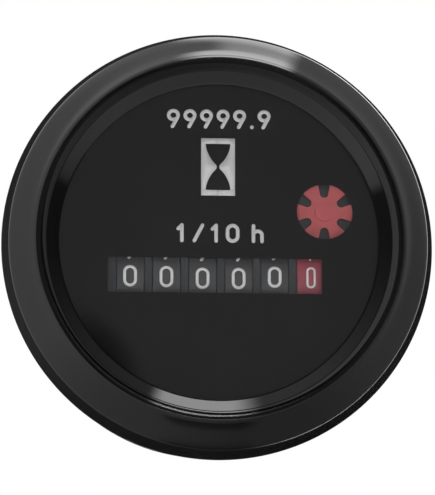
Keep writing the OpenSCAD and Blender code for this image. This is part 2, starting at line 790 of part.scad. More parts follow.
module circuit_board() {
    color("#2f5a3c") placed() difference() {
        translate([0, 0, board_back_h]) notched_disc(board_t);
        translate([0, 0, board_back_h - 1]) {
            around(pillar_ring_r, pillar_start) cylinder(r = screw_r, h = board_t + 2);
            coil_pin_places() cylinder(r = pin_r, h = board_t + 2);
            for (side = [-1, 1]) translate([side * blade_span / 2, blade_y, 0])
                cube([blade_t, blade_w / 2, 2 * board_t + 4], center = true);
        }
    }
}

module board_spacers() {
    color("#cfcfca") placed() around(pillar_ring_r, pillar_start) translate([0, 0, board_front_h])
        ring(pillar_r, screw_r, rear_back_h - board_front_h);
}

module board_screws() {
    color("#a8a8a6") placed() around(pillar_ring_r, pillar_start)
        translate([0, 0, board_back_h]) mirror([0, 0, 1])
            screw(rear_front_h - board_back_h + screw_bite);
}

// Component body lying on the back of the board, with a lead bent into it at each end.
module lying(size, reach = 1.2, lead_r = 0.3) {
    r = size[2] / 2;
    translate([size[0], size[1], board_back_h - r - gap]) {
        rotate([0, 90, 0]) cylinder(r = r, h = size[3], center = true);
        rotate([0, 90, 0]) cylinder(r = lead_r, h = size[3] + 2 * reach, center = true);
        for (side = [-1, 1]) translate([side * (size[3] / 2 + reach), 0, 0]) {
            cylinder(r = lead_r, h = r + gap);
            sphere(r = lead_r, $fn = 24);
        }
    }
}

module quartz_crystal() {
    color("#c4c6c8") placed() translate([crystal[0], crystal[1], board_back_h - crystal[2] / 2])
        rotate([0, 90, 0]) cylinder(d = crystal[2], h = crystal[3], center = true);
}

module driver_chip() {
    lead = [0.4, 1.2, 0.4];
    lead_pitch = 1.27;
    color("#202124") placed() translate([chip[0], chip[1], board_back_h - chip_body[2] / 2]) {
        cube(chip_body, center = true);
        for (i = [-1.5 : 1.5], side = [-1, 1])
            translate([i * lead_pitch, side * (chip_body[1] + 1) / 2, (chip_body[2] - lead[2]) / 2])
                cube(lead, center = true);
    }
}

module capacitor() {
    color("#2c3c58") placed() lying(capacitor_size);
}

module diode() {
    color("#1d1d1f") placed() lying(diode_size);
}

module resistors() {
    color("#b99b6b") placed() for (i = [0 : 2]) translate([0, i * resistor_pitch, 0]) lying(resistor_size);
}

// Blade with a bevelled tip; its inner end is soldered into the board.
module terminal(side) {
    tip_h = -case_depth - blade_len;
    bevel = 1.2;
    latch_r = 0.85;
    outline = [
        [-blade_w / 2, board_back_h], [-blade_w / 4, board_back_h], [-blade_w / 4, board_front_h],
        [blade_w / 4, board_front_h], [blade_w / 4, board_back_h], [blade_w / 2, board_back_h],
        [blade_w / 2, tip_h + bevel], [blade_w / 2 - bevel, tip_h], [bevel - blade_w / 2, tip_h],
        [-blade_w / 2, tip_h + bevel],
    ];
    color("#c3b27a") placed() translate([side * blade_span / 2 - blade_t / 2, blade_y, 0]) difference() {
        rotate([90, 0, 90]) linear_extrude(blade_t) polygon(outline);
        translate([-1, 0, tip_h + blade_len / 3]) rotate([0, 90, 0]) cylinder(r = latch_r, h = blade_t + 2);
    }
}

module mounting_studs() {
    tip = 0.5;
    r = stud_d / 2;
    end_h = -case_depth - stud_len;
    seat_end_h = -case_depth - seat_h;
    outline = [
        [0, end_h], [r - tip, end_h], [r, end_h + tip], [r, seat_end_h], [stud_shank_r, seat_end_h],
        [stud_shank_r, floor_h], [stud_head_r, floor_h], [stud_head_r, floor_h + stud_head_t],
        [0, floor_h + stud_head_t],
    ];
    color("#bfc1c2") placed() for (side = [-1, 1])
        translate([side * stud_span / 2, stud_y, 0]) rotate_extrude() polygon(outline);
}

bezel();
lens();
lens_gasket();
dial_ring();
dial();
panel_gasket();
case();
front_plate();
rear_plate();
plate_pillars();
plate_screws();
movement_screws();
counter_frame();
frame_screws();
counter_shaft();
pinion_shaft();
shaft_clips();
plain_wheel(0, false);  // ten_thousands_wheel
plain_wheel(1);  // thousands_wheel
plain_wheel(2);  // hundreds_wheel
plain_wheel(3);  // tens_wheel
plain_wheel(4);  // units_wheel
tenths_wheel();
worm_wheel();
transfer_pinion(0);  // transfer_pinion_1
transfer_pinion(1);  // transfer_pinion_2
transfer_pinion(2);  // transfer_pinion_3
transfer_pinion(3);  // transfer_pinion_4
transfer_pinion(4);  // transfer_pinion_5
indicator_disc();
indicator_arbor();
second_wheel();
worm();
worm_arbor();
first_wheel();
first_arbor();
rotor_magnet();
rotor_arbor();
stator();
coil_core();
core_screws();
coil_bobbin();
coil_winding();
coil_pins();
circuit_board();
board_spacers();
board_screws();
quartz_crystal();
driver_chip();
capacitor();
diode();
resistors();
terminal(-1);  // terminal_left
terminal(1);  // terminal_right
mounting_studs();
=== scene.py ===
import json
import math

import bmesh
import bpy
import mathutils
import numpy as np
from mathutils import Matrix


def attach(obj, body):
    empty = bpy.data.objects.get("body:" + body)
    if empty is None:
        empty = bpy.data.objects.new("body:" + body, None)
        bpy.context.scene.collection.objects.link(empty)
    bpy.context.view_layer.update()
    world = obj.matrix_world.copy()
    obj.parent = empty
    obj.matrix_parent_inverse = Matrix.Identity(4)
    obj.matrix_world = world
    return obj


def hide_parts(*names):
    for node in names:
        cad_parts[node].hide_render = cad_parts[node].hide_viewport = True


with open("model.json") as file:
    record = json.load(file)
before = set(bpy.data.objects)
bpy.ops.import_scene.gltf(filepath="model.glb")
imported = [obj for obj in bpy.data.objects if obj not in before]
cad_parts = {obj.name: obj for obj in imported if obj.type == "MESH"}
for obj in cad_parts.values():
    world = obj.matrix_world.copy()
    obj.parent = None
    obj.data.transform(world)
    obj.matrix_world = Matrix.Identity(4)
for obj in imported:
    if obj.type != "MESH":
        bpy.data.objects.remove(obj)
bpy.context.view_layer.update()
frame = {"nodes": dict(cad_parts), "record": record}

# Round panel hour meter. Sizes are in mm in dial coordinates: x right, y up, and height towards the
# viewer, counted from the bezel's rear edge. The panel's front face is one gasket thickness behind it.
gasketThickness = 1.0
print("frame loaded:", len(frame["nodes"]), "nodes")


def toLinear(hexText):
    # An sRGB hex value as linear red, green, blue and alpha.
    parts = np.array([int(hexText[i:i + 2], 16) / 255 for i in (1, 3, 5)])
    linear = np.where(parts <= 0.04045, parts / 12.92, ((parts + 0.055) / 1.055) ** 2.4)
    return (*linear.tolist(), 1.0)


def addNode(tree, kind, settings=None, links=None):
    # Adds a shader node. settings fills its inputs by name or number, or its own attributes, and links
    # joins an input to another node's output, given as (node, output name or number).
    node = tree.nodes.new(kind)
    for key, value in (settings or {}).items():
        if isinstance(key, int) or key in node.inputs:
            node.inputs[key].default_value = value
        else:
            setattr(node, key, value)
    for key, (source, output) in (links or {}).items():
        tree.links.new(source.outputs[output], node.inputs[key])
    return node


def newMaterial(name):
    material = bpy.data.materials.new(name)
    material.use_nodes = True
    material.node_tree.nodes.clear()
    return material, material.node_tree


noiseSpread = (0.3, 0.7)  # where nearly all values of a noise lie
waveMm = 1000 * 2 * math.pi / 20  # what one repeat of a wave texture measures at a scale of 1


def mouldedFinish(name, look):
    # Plastic, rubber or paint: a grain at its real spacing lifts the surface, and a slower pattern, as
    # flow in a mould leaves it, shifts the shade a little and makes some places glossier.
    material, tree = newMaterial(name)
    place = addNode(tree, "ShaderNodeTexCoord")
    grain = addNode(tree, "ShaderNodeTexNoise", {"Scale": 1000 / look["grainMm"], "Detail": 3.0},
                    {"Vector": (place, "Object")})
    flow = addNode(tree, "ShaderNodeTexNoise", {"Scale": 1000 / look["flowMm"], "Detail": 2.0},
                   {"Vector": (place, "Object")})
    shade = addNode(tree, "ShaderNodeMix", {"data_type": "RGBA", 6: toLinear(look["colour"]),
                                            7: toLinear(look["shade"])}, {0: (flow, "Fac")})
    gloss = addNode(tree, "ShaderNodeMapRange", {
        "From Min": noiseSpread[0], "From Max": noiseSpread[1], "To Min": look["roughness"][0],
        "To Max": look["roughness"][1]}, {"Value": (flow, "Fac")})
    bump = addNode(tree, "ShaderNodeBump", {"Strength": 1.0, "Distance": look["grainHeightMm"] * 0.001},
                   {"Height": (grain, "Fac")})
    shader = addNode(tree, "ShaderNodeBsdfPrincipled", {"IOR": look["ior"]},
                     {"Base Color": (shade, 2), "Roughness": (gloss, "Result"), "Normal": (bump, "Normal")})
    addNode(tree, "ShaderNodeOutputMaterial", links={"Surface": (shader, "BSDF")})
    return material


def metalFinish(name, look):
    # Metal: fine marks drawn out along one direction by stretching a noise, and a slow change of
    # roughness where hands and tools have been.
    material, tree = newMaterial(name)
    place = addNode(tree, "ShaderNodeTexCoord")
    drawn = addNode(tree, "ShaderNodeMapping", {"Scale": tuple(1000 / size for size in look["markMm"])},
                    {"Vector": (place, "Object")})
    marks = addNode(tree, "ShaderNodeTexNoise", {"Scale": 1.0, "Detail": 2.0},
                    {"Vector": (drawn, "Vector")})
    haze = addNode(tree, "ShaderNodeTexNoise", {"Scale": 1000 / look["hazeMm"], "Detail": 3.0},
                   {"Vector": (place, "Object")})
    shade = addNode(tree, "ShaderNodeMix", {"data_type": "RGBA", 6: toLinear(look["colour"]),
                                            7: toLinear(look["shade"])}, {0: (marks, "Fac")})
    gloss = addNode(tree, "ShaderNodeMapRange", {
        "From Min": noiseSpread[0], "From Max": noiseSpread[1], "To Min": look["roughness"][0],
        "To Max": look["roughness"][1]}, {"Value": (haze, "Fac")})
    bump = addNode(tree, "ShaderNodeBump", {"Strength": 1.0, "Distance": look["markHeightMm"] * 0.001},
                   {"Height": (marks, "Fac")})
    shader = addNode(tree, "ShaderNodeBsdfPrincipled", {"Metallic": look["metallic"]},
                     {"Base Color": (shade, 2), "Roughness": (gloss, "Result"), "Normal": (bump, "Normal")})
    addNode(tree, "ShaderNodeOutputMaterial", links={"Surface": (shader, "BSDF")})
    return material


def lensFinish(name, look):
    # Clear moulded acrylic, polished: sharp reflections over an even view of the dial, with a faint film
    # in patches where it was wiped. Lamp rays and rays from the dial pass straight through, so that the
    # dial is lit as in the open.
    material, tree = newMaterial(name)
    place = addNode(tree, "ShaderNodeTexCoord")
    film = addNode(tree, "ShaderNodeTexNoise", {"Scale": 1000 / look["wipeMm"], "Detail": 3.0},
                   {"Vector": (place, "Object")})
    gloss = addNode(tree, "ShaderNodeMapRange", {
        "From Min": look["film"][0], "From Max": look["film"][1], "To Min": look["roughness"][0],
        "To Max": look["roughness"][1]}, {"Value": (film, "Fac")})
    glass = addNode(tree, "ShaderNodeBsdfPrincipled", {
        "Base Color": toLinear(look["colour"]), "IOR": look["ior"], "Transmission Weight": 1.0},
        {"Roughness": (gloss, "Result")})
    clear = addNode(tree, "ShaderNodeBsdfTransparent", {"Color": toLinear(look["colour"])})
    path = addNode(tree, "ShaderNodeLightPath")
    passing = addNode(tree, "ShaderNodeMath", {"operation": "MAXIMUM"},
                      {0: (path, "Is Shadow Ray"), 1: (path, "Is Diffuse Ray")})
    both = addNode(tree, "ShaderNodeMixShader", links={0: (passing, 0), 1: (glass, 0), 2: (clear, 0)})
    addNode(tree, "ShaderNodeOutputMaterial", links={"Surface": (both, 0)})
    return material


def laminateFinish(name, look):
    # Glass-epoxy board under green solder mask: two crossed waves show faintly through the mask, as the
    # woven cloth does.
    material, tree = newMaterial(name)
    place = addNode(tree, "ShaderNodeTexCoord")
    warp, weft = [
        addNode(tree, "ShaderNodeTexWave", {"Scale": waveMm / look["weaveMm"], "bands_direction": way},
                {"Vector": (place, "Object")}) for way in ("X", "Z")]
    weave = addNode(tree, "ShaderNodeMath", {"operation": "MULTIPLY"}, {0: (warp, "Fac"), 1: (weft, "Fac")})
    shade = addNode(tree, "ShaderNodeMix", {"data_type": "RGBA", 6: toLinear(look["colour"]),
                                            7: toLinear(look["shade"])}, {0: (weave, 0)})
    bump = addNode(tree, "ShaderNodeBump", {"Strength": 1.0, "Distance": look["weaveHeightMm"] * 0.001},
                   {"Height": (weave, 0)})
    shader = addNode(tree, "ShaderNodeBsdfPrincipled", {"Roughness": look["roughness"], "IOR": look["ior"]},
                     {"Base Color": (shade, 2), "Normal": (bump, "Normal")})
    addNode(tree, "ShaderNodeOutputMaterial", links={"Surface": (shader, "BSDF")})
    return material


def woundFinish(name, look):
    # Enamelled wire wound in layers: ridges square to the coil's length, which runs along z, with painted
    # light and shade: paler on top of each ridge and darker between them, where shade falls.
    material, tree = newMaterial(name)
    place = addNode(tree, "ShaderNodeTexCoord")
    turns = addNode(tree, "ShaderNodeTexWave", {
        "Scale": waveMm / look["ridgeMm"], "bands_direction": "Z", "Distortion": look["unevenness"]},
        {"Vector": (place, "Object")})
    shade = addNode(tree, "ShaderNodeMix", {"data_type": "RGBA", 6: toLinear(look["shade"]),
                                            7: toLinear(look["colour"])}, {0: (turns, "Fac")})
    bump = addNode(tree, "ShaderNodeBump", {"Strength": 1.0, "Distance": look["ridgeHeightMm"] * 0.001},
                   {"Height": (turns, "Fac")})
    shader = addNode(tree, "ShaderNodeBsdfPrincipled", {
        "Metallic": look["metallic"], "Roughness": look["roughness"]},
        {"Base Color": (shade, 2), "Normal": (bump, "Normal")})
    addNode(tree, "ShaderNodeOutputMaterial", links={"Surface": (shader, "BSDF")})
    return material


mouldings = {
    # High-gloss moulded ABS: near-black, its gloss slightly broken by mould flow.
    "bezel_gloss": {"name": "glossBlackAbs", "colour": "#0a0a0b", "shade": "#0d0d0f",
                    "roughness": (0.05, 0.1), "ior": 1.53, "grainMm": 2.5, "grainHeightMm": 0.002,
                    "flowMm": 9},
    # High-gloss moulded styrene: as the bezel, a little sharper.
    "ring_gloss": {"name": "glossBlackStyrene", "colour": "#090909", "shade": "#0c0c0d",
                   "roughness": (0.04, 0.08), "ior": 1.46, "grainMm": 2.5, "grainHeightMm": 0.001,
                   "flowMm": 7},
    # Black nitrile rubber, moulded: matt, with a fine powdery grain.
    "seal_rubber": {"name": "blackNitrile", "colour": "#141414", "shade": "#1c1c1c",
                    "roughness": (0.7, 0.85), "ior": 1.5, "grainMm": 0.25, "grainHeightMm": 0.01,
                    "flowMm": 4},
    # Matt black screen ink on sheet: no shine, a very fine tooth.
    "dial_print": {"name": "mattBlackDial", "colour": "#0e0e0f", "shade": "#101011",
                   "roughness": (0.8, 0.9), "ior": 1.4, "grainMm": 0.5, "grainHeightMm": 0.001,
                   "flowMm": 6},
    # ABS moulded in a spark-eroded tool: an even satin with a fine stipple.
    "case_moulding": {"name": "stippledBlackAbs", "colour": "#161617", "shade": "#1b1b1c",
                      "roughness": (0.42, 0.55), "ior": 1.53, "grainMm": 0.35, "grainHeightMm": 0.02,
                      "flowMm": 12},
    # Moulded acetal, dark grey: waxy satin.
    "plate_moulding": {"name": "greyAcetal", "colour": "#393b3d", "shade": "#3e4042",
                       "roughness": (0.4, 0.5), "ior": 1.48, "grainMm": 0.4, "grainHeightMm": 0.004,
                       "flowMm": 5},
    # Moulded acetal number wheels: satin, charcoal.
    "number_drum": {"name": "charcoalAcetal", "colour": "#474749", "shade": "#4e4e51",
                    "roughness": (0.35, 0.45), "ior": 1.48, "grainMm": 0.3, "grainHeightMm": 0.003,
                    "flowMm": 2.2},
    # The tenths wheel, the same acetal in red.
    "red_drum": {"name": "redAcetal", "colour": "#9b4a54", "shade": "#a2525c",
                 "roughness": (0.35, 0.45), "ior": 1.48, "grainMm": 0.3, "grainHeightMm": 0.003,
                 "flowMm": 2.2},
    # Matt red styrene disc.
    "red_disc": {"name": "redStyrene", "colour": "#b45558", "shade": "#bd5b5d", "roughness": (0.5, 0.6),
                 "ior": 1.55, "grainMm": 0.3, "grainHeightMm": 0.003, "flowMm": 3},
    # Natural acetal, moulded: milky, waxy.
    "natural_acetal": {"name": "naturalAcetal", "colour": "#dcd6c6", "shade": "#e4dfd2",
                       "roughness": (0.35, 0.45), "ior": 1.48, "grainMm": 0.4, "grainHeightMm": 0.003,
                       "flowMm": 3},
    # Nylon bobbin, moulded, dark red.
    "bobbin_moulding": {"name": "redNylon", "colour": "#942c28", "shade": "#9c3430",
                        "roughness": (0.4, 0.5), "ior": 1.53, "grainMm": 0.4, "grainHeightMm": 0.004,
                        "flowMm": 3},
    # Natural nylon spacers, turned.
    "spacer_nylon": {"name": "naturalNylon", "colour": "#dddad0", "shade": "#e5e2da",
                     "roughness": (0.4, 0.5), "ior": 1.53, "grainMm": 0.3, "grainHeightMm": 0.004,
                     "flowMm": 3},
    # Black epoxy chip body, transfer moulded: a dull fine grain.
    "chip_epoxy": {"name": "blackEpoxy", "colour": "#1a1a1b", "shade": "#202021",
                   "roughness": (0.55, 0.65), "ior": 1.55, "grainMm": 0.15, "grainHeightMm": 0.006,
                   "flowMm": 1.5},
    # Blue PVC sleeve, heat-shrunk over a can: smooth with slow ripples.
    "capacitor_sleeve": {"name": "blueShrinkSleeve", "colour": "#2c4170", "shade": "#334a7c",
                         "roughness": (0.2, 0.3), "ior": 1.53, "grainMm": 1.2, "grainHeightMm": 0.02,
                         "flowMm": 2},
    # Beige lacquer, dipped: a soft sheen, a little lumpy.
    "resistor_lacquer": {"name": "beigeLacquer", "colour": "#bda67f", "shade": "#c8b28c",
                         "roughness": (0.3, 0.4), "ior": 1.5, "grainMm": 0.8, "grainHeightMm": 0.02,
                         "flowMm": 1.5},
}
metals = {
    # Cut and turned brass: warm yellow, fine marks round the axis.
    "turned_brass": {"name": "turnedBrass", "colour": "#cbb06a", "shade": "#c2a55c", "metallic": 1.0,
                     "roughness": (0.22, 0.34), "markMm": (1.5, 0.15, 1.5), "markHeightMm": 0.003,
                     "hazeMm": 3},
    # Ground steel shafts: bright, marks square to the length.
    "ground_steel": {"name": "groundSteel", "colour": "#cdcdcf", "shade": "#bfc0c2", "metallic": 1.0,
                     "roughness": (0.16, 0.26), "markMm": (0.2, 0.2, 1.5), "markHeightMm": 0.002,
                     "hazeMm": 4},
    # Steel, bright zinc plated: bluish white, cloudy.
    "plated_steel": {"name": "zincPlatedSteel", "colour": "#c9cac8", "shade": "#b8bbbc",
                     "metallic": 1.0, "roughness": (0.24, 0.4), "markMm": (0.6, 0.6, 0.6),
                     "markHeightMm": 0.004, "hazeMm": 2},
    # Rolled sheet, zinc plated: long marks along the rolling direction.
    "sheet_steel": {"name": "zincPlatedSheet", "colour": "#bfc1c2", "shade": "#b0b3b4", "metallic": 1.0,
                    "roughness": (0.28, 0.42), "markMm": (4, 0.3, 0.3), "markHeightMm": 0.003,
                    "hazeMm": 5},
    # Annealed silicon steel, punched: grey, dull.
    "soft_iron": {"name": "annealedSiliconSteel", "colour": "#a6a8aa", "shade": "#989a9d",
                  "metallic": 1.0, "roughness": (0.4, 0.55), "markMm": (0.5, 0.5, 0.5),
                  "markHeightMm": 0.004, "hazeMm": 2},
    # Sintered magnet, ground: dark grey, grainy.
    "magnet": {"name": "sinteredMagnet", "colour": "#7d7d80", "shade": "#6f6f72", "metallic": 0.8,
               "roughness": (0.45, 0.6), "markMm": (0.15, 0.15, 0.15), "markHeightMm": 0.006,
               "hazeMm": 1},
    # Tinned copper pins: soft white shine.
    "tinned_wire": {"name": "tinnedCopper", "colour": "#d4d4d2", "shade": "#c6c7c6", "metallic": 1.0,
                    "roughness": (0.25, 0.38), "markMm": (0.4, 0.4, 0.4), "markHeightMm": 0.003,
                    "hazeMm": 1},
    # Nickel-plated drawn can: bright, marks along the draw.
    "crystal_can": {"name": "nickelPlatedCan", "colour": "#cfcdc8", "shade": "#c3c1bc", "metallic": 1.0,
                    "roughness": (0.15, 0.25), "markMm": (0.3, 0.3, 3), "markHeightMm": 0.002,
                    "hazeMm": 3},
    # Stamped brass, flashed with tin: pale straw metal, rolled marks along the blade.
    "tinned_brass": {"name": "tinFlashedBrass", "colour": "#d3c7a6", "shade": "#c7b98f",
                     "metallic": 1.0, "roughness": (0.24, 0.38), "markMm": (0.25, 4, 0.25),
                     "markHeightMm": 0.004, "hazeMm": 3},
}
finishes = {slot: mouldedFinish(look["name"], look) for slot, look in mouldings.items()}
finishes |= {slot: metalFinish(look["name"], look) for slot, look in metals.items()}
# Moulded acrylic, polished.
acrylic = {"colour": "#fafafa", "ior": 1.49, "wipeMm": 14, "film": (0.45, 0.8), "roughness": (0.0, 0.03)}
finishes["clear_lens"] = lensFinish("clearAcrylic", acrylic)
# Glass-epoxy board. Its weave is drawn coarser than the real cloth, so that it shows.
laminate = {"colour": "#3a6f50", "shade": "#447a5a", "ior": 1.5, "weaveMm": 3.77, "weaveHeightMm": 0.01,
            "roughness": 0.35}
finishes["board_laminate"] = laminateFinish("glassEpoxyBoard", laminate)
# Enamelled copper wire: coppery and glossy. Its ridges are drawn coarser than the real wire, too.
# Its colour is the painted paler top of a turn, and its shade the painted shade between turns.
copperWire = {"colour": "#c67a4a", "shade": "#7c3f22", "metallic": 0.85, "ridgeMm": 1.571,
              "ridgeHeightMm": 0.05, "unevenness": 0.6, "roughness": 0.28}
finishes["enamelled_copper"] = woundFinish("enamelledCopperWire", copperWire)
# Screen ink, pale grey on the dial and nearly white on the number wheels: a thin, slightly uneven film.
inks = {"paleScreenInk": {"colour": "#cccccc", "shade": "#d4d4d4", "roughness": (0.5, 0.6)},
        "whiteDrumInk": {"colour": "#eaeae8", "shade": "#f0f0ee", "roughness": (0.45, 0.55)}}
inkFilm = {"ior": 1.5, "grainMm": 0.25, "grainHeightMm": 0.004, "flowMm": 1.5}
dialInk, drumInk = [mouldedFinish(name, look | inkFilm) for name, look in inks.items()]

nodeSlot = {part["node"]: part["material_slot"] for part in frame["record"]["subparts"]}
for nodeName, node in frame["nodes"].items():
    if not node.material_slots:
        node.data.materials.append(None)
    for place in node.material_slots:
        place.link = "OBJECT"
        place.material = finishes[nodeSlot[nodeName]]
print("finishes:", len(bpy.data.materials))


def onDial(x, height, y):
    # Dial coordinates in mm to the frame in metres.
    x, height, y = np.broadcast_arrays(x, height, y)
    return np.stack([x, -(height + gasketThickness), y], axis=-1) * 0.001


mergeDistance, shortestEdge = 1e-7, 1e-8  # metres: nearer points are one, shorter edges are taken out


def makePiece(name, grids, material, body="root", slot=None, replaces=()):
    # One mesh over several grids of points. Each cell between two rows and two columns is a face, and a
    # grid may close on itself both ways. Doubled points, such as those of a pole, are merged.
    points, corners, start = [], [], 0
    for grid, closeRows, closeColumns in grids:
        rows, columns = grid.shape[:2]
        r = np.arange(rows if closeRows else rows - 1)[:, None]
        c = np.arange(columns if closeColumns else columns - 1)[None, :]
        below, beside = (r + 1) % rows, (c + 1) % columns
        cells = [r * columns + c, r * columns + beside, below * columns + beside, below * columns + c]
        corners.append(start + np.stack(np.broadcast_arrays(*cells), axis=-1).reshape(-1, 4))
        points.append(grid.reshape(-1, 3))
        start += rows * columns
    points, corners = np.concatenate(points), np.concatenate(corners)
    mesh = bpy.data.meshes.new(name)
    mesh.vertices.add(len(points))
    mesh.vertices.foreach_set("co", points.astype(np.float32).ravel())
    mesh.loops.add(corners.size)
    mesh.loops.foreach_set("vertex_index", corners.astype(np.int32).ravel())
    mesh.polygons.add(len(corners))
    mesh.polygons.foreach_set("loop_start", np.arange(0, corners.size, 4, dtype=np.int32))
    mesh.update(calc_edges=True)
    work = bmesh.new()
    work.from_mesh(mesh)
    bmesh.ops.remove_doubles(work, verts=work.verts, dist=mergeDistance)
    bmesh.ops.dissolve_degenerate(work, dist=shortestEdge, edges=work.edges)
    bmesh.ops.recalc_face_normals(work, faces=work.faces)
    work.to_mesh(mesh)
    work.free()
    mesh.shade_smooth()
    mesh.materials.append(material)
    piece = bpy.data.objects.new(name, mesh)
    bpy.context.scene.collection.objects.link(piece)
    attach(piece, body)
    if replaces:
        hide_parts(*replaces)
    return piece


def rounded(corners, steps=6, support=0.04, longest=0.45, nearest=0.2):
    # A closed outline of (radius, height, fillet). Each corner with a fillet becomes an arc that touches
    # both its sides, with a point just beyond each end, which keeps the flats flat in smooth shading. An
    # arc takes at most the share longest of a side, and a point beyond it at most the share nearest.
    out = []
    for i, (r, h, fillet) in enumerate(corners):
        here = np.array([r, h])
        if not fillet:
            out.append(here)
            continue
        before = np.array(corners[i - 1][:2]) - here
        after = np.array(corners[(i + 1) % len(corners)][:2]) - here
        lengths = np.linalg.norm(before), np.linalg.norm(after)
        u, v = before / lengths[0], after / lengths[1]
        half = math.acos(np.clip(u @ v, -1, 1)) / 2
        reach = min(fillet / math.tan(half), longest * min(lengths))
        radius = reach * math.tan(half)
        centre = here + (u + v) / np.linalg.norm(u + v) * radius / math.sin(half)
        spokes = np.linspace(here + u * reach - centre, here + v * reach - centre, steps + 1)
        arc = centre + spokes / np.linalg.norm(spokes, axis=1)[:, None] * radius
        room = min(support, nearest * min(lengths))
        out += [here + u * (reach + room), *arc, here + v * (reach + room)]
    return np.array(out)


def revolved(outline, steps=480):
    # Each point of the outline carried round the axis: x = radius cos a, y = radius sin a.
    angle = np.linspace(0, 2 * np.pi, steps, endpoint=False)[:, None]
    radius, height = outline[None, :, 0], outline[None, :, 1]
    return onDial(radius * np.cos(angle), height, radius * np.sin(angle))


bezelSize = {
    "rim": 29.75, "rimEdge": 0.2, "sideHeight": 3.15, "sideLean": 0.08, "sideEdge": 0.3, "crest": 25.1,
    "height": 6.8, "crestEdge": 0.1, "crestPoints": 14, "lipHeight": 5.7, "edge": 0.05,
    # Stretches of the face from the crest outwards, as (length, slope from, slope to).
    "front": ((0.28, 36, 41), (0.3, 41, 48.5), (1.3, 48.5, 44.3), (1.3, 44.3, 43.8), (1.4, 43.8, 45.5),
              (0.4, 45.5, 50)),
    # Corners of the hollow behind, as (radius, height): under the lip, round the flange, over the bead.
    "hollow": ((25.75, 5.7), (25.75, 2.2), (26.55, 2.2), (26.55, 3.95), (28.45, 2.25), (28.45, 0.5),
               (27.95, 0.4), (27.95, 0)),
}


def turned(centre, radius, start, end, count):
    # Points on a circle in the radius-height plane, at even angles counted from outward to forward.
    turn = np.radians(np.linspace(start, end, count))[:, None]
    return centre + radius * np.concatenate([np.cos(turn), np.sin(turn)], axis=1)


def bent(start, parts, steps=12):
    # A path whose slope below level turns evenly along each part, given as (length, slope from, slope
    # to): each short step goes (cos slope, -sin slope) times its length.
    slope = np.radians(np.concatenate([np.linspace(low, high, steps, endpoint=False)
                                       for _, low, high in parts]))
    step = np.repeat([length / steps for length, _, _ in parts], steps)[:, None]
    return start + np.cumsum(np.stack([np.cos(slope), -np.sin(slope)], axis=1) * step, axis=0)


def bezelOutline(size):
    # Leaning side, a front band that is full at its foot and a little hollow above, a quick brow up to
    # the crest, and an upright wall down to the ring. Behind, the hollow that grips the case's flange.
    crestMiddle = np.array([size["crest"], size["height"] - size["crestEdge"]])
    crest = turned(crestMiddle, size["crestEdge"], 90 - size["front"][0][1], 180, size["crestPoints"])
    face = bent(crest[0], size["front"])[::-1]
    return rounded([
        (size["rim"], 0, size["rimEdge"]),
        (face[0, 0] + size["sideLean"], size["sideHeight"], size["sideEdge"]),
        *[(r, h, 0) for r, h in (*face, *crest)],
        (size["crest"] - size["crestEdge"], size["lipHeight"], size["edge"]),
        *[(r, h, size["edge"]) for r, h in size["hollow"]]])


# Heights are those of the ring's back and front. The land is what the bezel's lip covers, and the foot
# is the small upright wall and rounding where the cone starts.
ringSize = {"inner": 21.9, "step": 23.66, "land": 24.5, "outer": 25.65, "back": 3.8, "front": 5.7,
            "slopes": (38, 46), "slopePoints": 16, "stepWidth": 0.04, "stepHeight": 0.05, "stepEdge": 0.04,
            "fineEdge": 0.03, "outerEdge": 0.05, "footWidth": 0.16, "footHeight": 0.15, "footEdge": 0.3,
            "footWall": 0.1}


def ringOutline(size):
    # Cone from the lens up to a fine step, then a hollow cone whose slope turns evenly as it steepens,
    # and a flat land. A slope that turns evenly is a circle: its points are (sin slope, -cos slope)
    # times the circle's radius.
    slope = np.radians(np.linspace(*size["slopes"], size["slopePoints"]))
    bend = (size["land"] - size["step"]) / (np.sin(slope[-1]) - np.sin(slope[0]))
    hollow = np.stack([np.sin(slope), -np.cos(slope)], axis=1) * bend
    hollow += np.array([size["land"], size["front"]]) - hollow[-1]
    inner, outer, back, front = [size[key] for key in ("inner", "outer", "back", "front")]
    return rounded([
        (inner, back, 0), (outer, back, size["outerEdge"]), (outer, front, size["outerEdge"]),
        (size["land"], front, size["fineEdge"]), *[(r, h, 0) for r, h in hollow[-2::-1]],
        (hollow[0, 0] - size["stepWidth"], hollow[0, 1] + size["stepHeight"], size["stepEdge"]),
        (inner + size["footWidth"], back + size["footHeight"], size["footEdge"]),
        (inner, back + size["footWall"], size["fineEdge"])])


lensSize = {"radius": 25.65, "back": 3, "front": 3.8, "edge": 0.15}
lensOutline = rounded([
    (0, lensSize["back"], 0), (lensSize["radius"], lensSize["back"], lensSize["edge"]),
    (lensSize["radius"], lensSize["front"], lensSize["edge"]), (0, lensSize["front"], 0)])
makePiece("bezelShell", [(revolved(bezelOutline(bezelSize)), True, True)], finishes["bezel_gloss"],
          slot="bezel_gloss", replaces=["bezel"])
makePiece("lensDisc", [(revolved(lensOutline), True, False)], finishes["clear_lens"],
          slot="clear_lens", replaces=["lens"])
makePiece("dialRingCone", [(revolved(ringOutline(ringSize)), True, True)], finishes["ring_gloss"],
          slot="ring_gloss", replaces=["dial_ring"])

# Flat rubber rings, one behind the lens and one behind the bezel.
sealSize = {"lensSeal": {"inner": 24.8, "outer": 25.65, "back": 2.6, "front": 3, "edge": 0.1,
                         "steps": 240, "node": "lens_gasket"},
            "panelSeal": {"inner": 26.4, "outer": 28.85, "back": -1, "front": 0, "edge": 0.15,
                          "steps": 360, "node": "panel_gasket"}}
for name, size in sealSize.items():
    section = rounded([(size[side], size[face], size["edge"]) for side, face in (
        ("inner", "back"), ("outer", "back"), ("outer", "front"), ("inner", "front"))])
    makePiece(name, [(revolved(section, size["steps"]), True, True)], finishes["seal_rubber"],
              slot="seal_rubber", replaces=[size["node"]])
print("bezel, lens and rings made")


